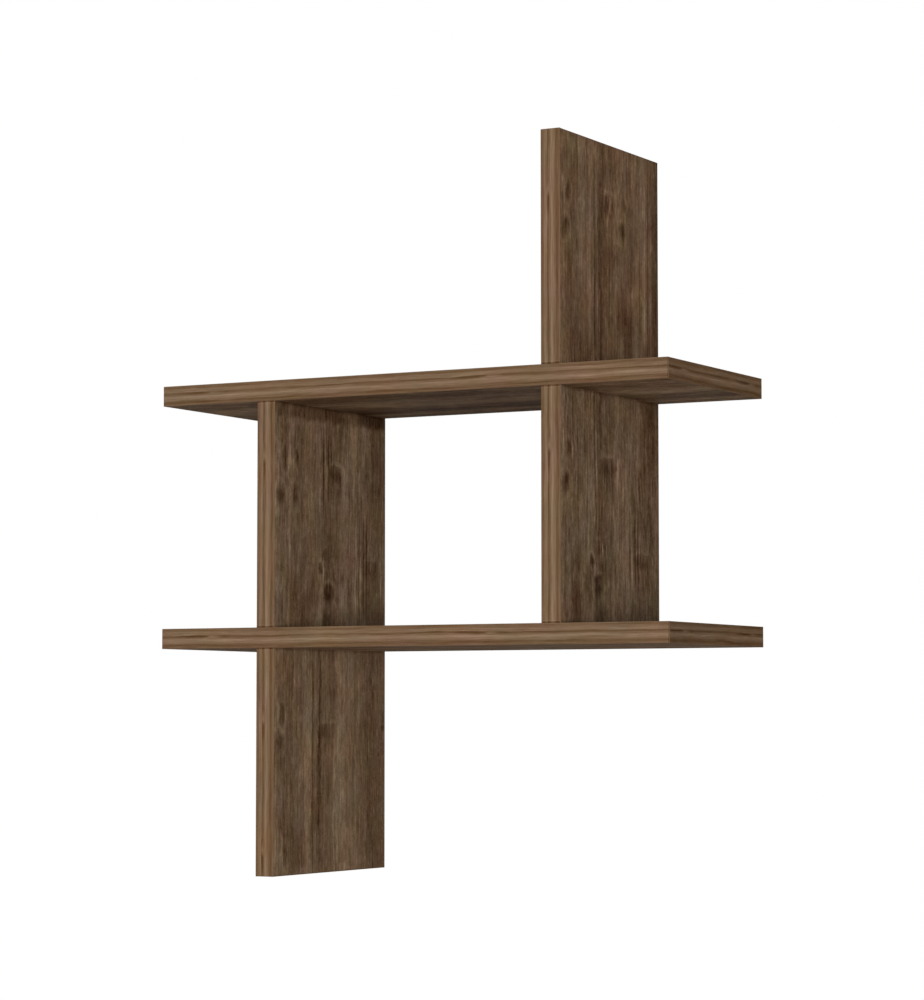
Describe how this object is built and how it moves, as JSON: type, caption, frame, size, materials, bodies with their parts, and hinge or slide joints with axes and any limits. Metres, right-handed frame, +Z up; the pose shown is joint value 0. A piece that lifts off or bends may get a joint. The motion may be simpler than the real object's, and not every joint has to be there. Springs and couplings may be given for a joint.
{
  "type": "wall shelf",
  "caption": "Stepped wall shelf with open bays: long walnut-decor boards joined by short uprights, hung on keyhole plates let into the back edges.",
  "frame": {"origin": "midway between the entry holes of the two keyhole plates, in the plane of the wall", "axes": "+X along the shelves to the right as seen from the front, +Y into the wall, +Z up; the front edges face -Y"},
  "size_m": [0.5, 0.195, 0.636],
  "materials": {
    "laminated_board": "matt melamine facing with a printed walnut grain on chipboard",
    "edge_band": "matt ABS edging with a printed walnut grain",
    "cap_plastic": "fine matt moulded plastic, walnut brown",
    "die_cast_zinc": "dull die-cast zinc",
    "zinc_plated_steel": "bright zinc plating",
    "beech": "plain beech, fluted"
  },
  "bodies": {
    "root": {"cam_cover_caps": "cap_plastic", "cam_locks": "die_cast_zinc", "double_ended_cam_bolts": "zinc_plated_steel", "hanger_screws": "zinc_plated_steel", "left_bottom_upright_back_band": "edge_band", "left_bottom_upright_board": "laminated_board", "left_bottom_upright_bottom_end_band": "edge_band", "left_bottom_upright_front_band": "edge_band", "left_keyhole_plate": "zinc_plated_steel", "left_middle_upright_back_band": "edge_band", "left_middle_upright_board": "laminated_board", "left_middle_upright_front_band": "edge_band", "lower_shelf_back_band": "edge_band", "lower_shelf_board": "laminated_board", "lower_shelf_front_band": "edge_band", "lower_shelf_left_end_band": "edge_band", "lower_shelf_right_end_band": "edge_band", "right_keyhole_plate": "zinc_plated_steel", "right_middle_upright_back_band": "edge_band", "right_middle_upright_board": "laminated_board", "right_middle_upright_front_band": "edge_band", "right_top_upright_back_band": "edge_band", "right_top_upright_board": "laminated_board", "right_top_upright_front_band": "edge_band", "right_top_upright_top_end_band": "edge_band", "single_ended_cam_bolts": "zinc_plated_steel", "upper_shelf_back_band": "edge_band", "upper_shelf_board": "laminated_board", "upper_shelf_front_band": "edge_band", "upper_shelf_left_end_band": "edge_band", "upper_shelf_right_end_band": "edge_band", "wooden_dowels": "beech"}
  },
  "joints": []
}
